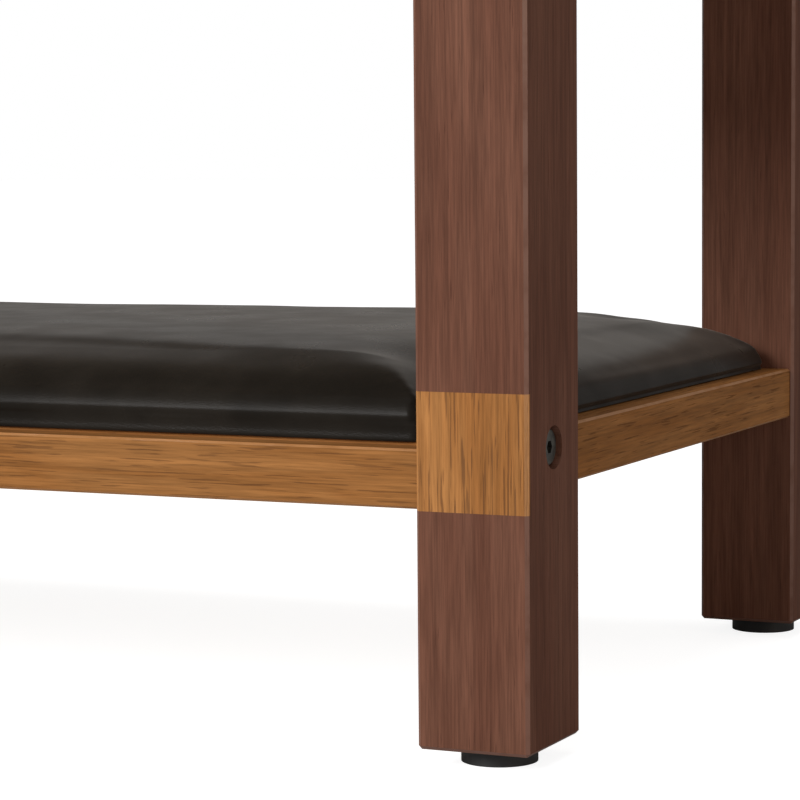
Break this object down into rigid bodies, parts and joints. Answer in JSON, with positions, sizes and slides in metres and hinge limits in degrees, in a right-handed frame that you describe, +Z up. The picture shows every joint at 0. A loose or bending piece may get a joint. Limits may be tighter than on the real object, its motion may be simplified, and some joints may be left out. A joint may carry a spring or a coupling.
{
  "type": "shoe rack",
  "caption": "Free-standing shoe rack: square posts with inlaid faces, slim rails, padded lift-off shelves and screw-in levelling feet.",
  "frame": {"origin": "on the floor, under the middle of the rack", "axes": "+X to the right along the length, +Y to the back, +Z up"},
  "size_m": [0.7, 0.335, 0.6],
  "materials": {
    "post_wood": "oiled, satin",
    "inlay_wood": "oiled, satin",
    "rail_wood": "oiled, satin",
    "side_rail_wood": "oiled, satin",
    "bearer_wood": "planed, unfinished",
    "dowel_wood": "plain",
    "plywood": "sanded",
    "pad_leather": "soft sheen, fine grain",
    "pad_foam": "open-cell foam, matt",
    "bolt_steel": "dark, satin",
    "nut_steel": "zinc",
    "screw_steel": "zinc",
    "insert_brass": "plain",
    "foot_plastic": "matt",
    "foot_steel": "zinc"
  },
  "bodies": {
    "frame": {"front_left_post": "post_wood", "front_left_inlays": "inlay_wood", "front_right_post": "post_wood", "front_right_inlays": "inlay_wood", "back_left_post": "post_wood", "back_left_inlays": "inlay_wood", "back_right_post": "post_wood", "back_right_inlays": "inlay_wood", "foot_inserts": "insert_brass", "side_rail_dowels": "dowel_wood", "front_rail_1": "rail_wood", "front_bearer_1": "bearer_wood", "back_rail_1": "rail_wood", "back_bearer_1": "bearer_wood", "left_rail_1": "side_rail_wood", "right_rail_1": "side_rail_wood", "cross_slats_1": "bearer_wood", "slat_screws_1": "screw_steel", "connector_bolts_1": "bolt_steel", "barrel_nuts_1": "nut_steel", "front_rail_2": "rail_wood", "front_bearer_2": "bearer_wood", "back_rail_2": "rail_wood", "back_bearer_2": "bearer_wood", "left_rail_2": "side_rail_wood", "right_rail_2": "side_rail_wood", "cross_slats_2": "bearer_wood", "slat_screws_2": "screw_steel", "connector_bolts_2": "bolt_steel", "barrel_nuts_2": "nut_steel", "front_rail_3": "rail_wood", "front_bearer_3": "bearer_wood", "back_rail_3": "rail_wood", "back_bearer_3": "bearer_wood", "left_rail_3": "side_rail_wood", "right_rail_3": "side_rail_wood", "cross_slats_3": "bearer_wood", "slat_screws_3": "screw_steel", "connector_bolts_3": "bolt_steel", "barrel_nuts_3": "nut_steel"},
    "pad_1": {"pad_cover_1": "pad_leather", "pad_foam_1": "pad_foam", "pad_board_1": "plywood", "pad_battens_1": "bearer_wood"},
    "pad_2": {"pad_cover_2": "pad_leather", "pad_foam_2": "pad_foam", "pad_board_2": "plywood", "pad_battens_2": "bearer_wood"},
    "pad_3": {"pad_cover_3": "pad_leather", "pad_foam_3": "pad_foam", "pad_board_3": "plywood", "pad_battens_3": "bearer_wood"},
    "foot_front_left": {"front_left_foot_base": "foot_plastic", "front_left_foot_stem": "foot_steel"},
    "foot_front_right": {"front_right_foot_base": "foot_plastic", "front_right_foot_stem": "foot_steel"},
    "foot_back_left": {"back_left_foot_base": "foot_plastic", "back_left_foot_stem": "foot_steel"},
    "foot_back_right": {"back_right_foot_base": "foot_plastic", "back_right_foot_stem": "foot_steel"}
  },
  "joints": [
    {"name": "pad_1_lift", "type": "slide", "parent": "frame", "child": "pad_1", "axis": [0, 0, 1], "range_m": [0, 0.1]},
    {"name": "pad_2_lift", "type": "slide", "parent": "frame", "child": "pad_2", "axis": [0, 0, 1], "range_m": [0, 0.1]},
    {"name": "pad_3_lift", "type": "slide", "parent": "frame", "child": "pad_3", "axis": [0, 0, 1], "range_m": [0, 0.1]},
    {"name": "front_left_foot_screw", "type": "slide", "parent": "frame", "child": "foot_front_left", "axis": [0, 0, -1], "range_m": [0, 0.01]},
    {"name": "front_right_foot_screw", "type": "slide", "parent": "frame", "child": "foot_front_right", "axis": [0, 0, -1], "range_m": [0, 0.01]},
    {"name": "back_left_foot_screw", "type": "slide", "parent": "frame", "child": "foot_back_left", "axis": [0, 0, -1], "range_m": [0, 0.01]},
    {"name": "back_right_foot_screw", "type": "slide", "parent": "frame", "child": "foot_back_right", "axis": [0, 0, -1], "range_m": [0, 0.01]}
  ]
}
